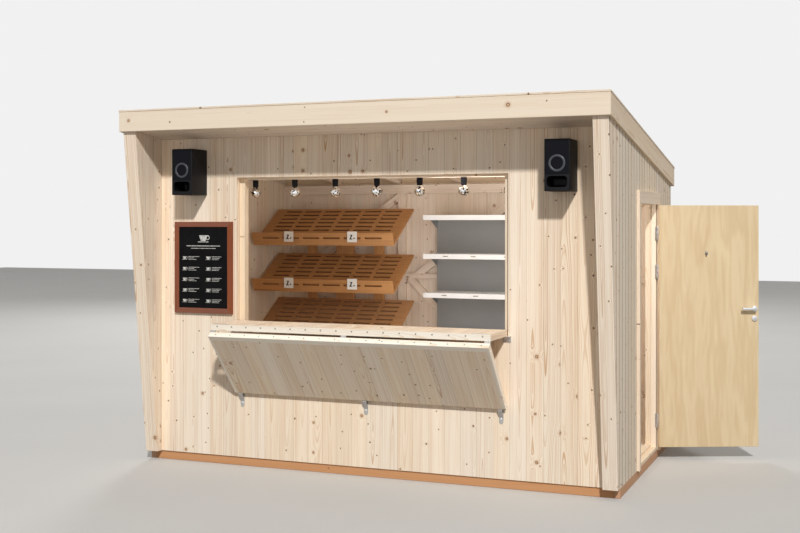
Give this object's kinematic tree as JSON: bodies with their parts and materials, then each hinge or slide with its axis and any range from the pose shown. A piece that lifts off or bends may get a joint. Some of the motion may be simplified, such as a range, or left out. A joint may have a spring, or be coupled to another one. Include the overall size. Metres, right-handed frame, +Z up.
{
  "type": "wooden market stall",
  "caption": "Wooden market stall with a mono-pitch roof, raked side wings, a fold-down counter hatch held by a flap, and a side door.",
  "frame": {"origin": "centre of the base at ground level, on the underside of the middle bearer", "axes": "+X to the customer's right along the front, +Y from the front to the back, +Z up"},
  "size_m": [4.491, 2.6589, 2.7144],
  "materials": {
    "black_panel": "chalkboard black",
    "black_plastic": "moulded",
    "bulb_glass": "half mirrored glass",
    "grey_metal": "powder coated grey",
    "menu_wood": "stained, satin",
    "pine": "planed, untreated",
    "plywood": "birch plywood, clear lacquer",
    "rack_wood": "stained, satin",
    "roof_felt": "roof edging",
    "steel": "zinc plated",
    "treated": "pressure treated",
    "white_metal": "powder coated white"
  },
  "bodies": {
    "stall": {"bread_racks": "rack_wood", "counter_hinge_plates": "steel", "door_casing_head": "pine", "door_casing_uprights": "pine", "door_hinge_plates": "steel", "door_stops": "pine", "end_bearers": "treated", "end_fascias": "pine", "flap_brackets": "steel", "floor": "plywood", "front_wall_left": "pine", "front_wall_lower": "pine", "front_wall_right": "pine", "front_wall_upper": "pine", "hatch_posts": "pine", "hatch_rails": "pine", "lamp_board": "pine", "lamp_bulbs": "bulb_glass", "lamp_sockets": "black_plastic", "left_wall": "pine", "menu_frame": "menu_wood", "menu_panel": "black_panel", "middle_bearers": "treated", "price_tags": "white_metal", "rack_uprights": "rack_wood", "rafters": "pine", "rear_braces": "pine", "rear_middle_rails": "pine", "rear_posts": "pine", "rear_rail": "pine", "rear_wall": "pine", "right_wall_front": "pine", "right_wall_rear": "pine", "right_wall_upper": "pine", "roof_cover": "roof_felt", "roof_deck": "pine", "side_bearers": "treated", "side_fascias": "pine", "soffit": "pine", "speakers": "black_plastic", "threshold": "pine", "unit_back": "grey_metal", "unit_brackets": "grey_metal", "unit_shelves": "white_metal", "unit_uprights": "grey_metal", "wings": "pine"},
    "counter": {"counter_shelf": "pine", "counter_hinge_leaves": "steel", "flap_hinge_plates": "steel"},
    "flap": {"support_flap": "pine", "flap_hinge_leaves": "steel"},
    "door": {"door_leaf": "plywood", "door_hinge_leaves": "steel", "door_handles": "steel", "coat_hook": "steel"}
  },
  "joints": [
    {"name": "counter_hinge", "type": "hinge", "parent": "stall", "child": "counter", "pos_m": [0, -1.086, 1.062], "axis": [-1, 0, 0], "range_deg": [0, 90]},
    {"name": "flap_hinge", "type": "hinge", "parent": "counter", "child": "flap", "pos_m": [0, -1.477, 1.062], "axis": [-1, 0, 0], "range_deg": [0, 130.39]},
    {"name": "door_hinge", "type": "hinge", "parent": "stall", "child": "door", "pos_m": [1.8665, 0.371, 0.1], "axis": [0, 0, -1], "range_deg": [0, 114]}
  ]
}
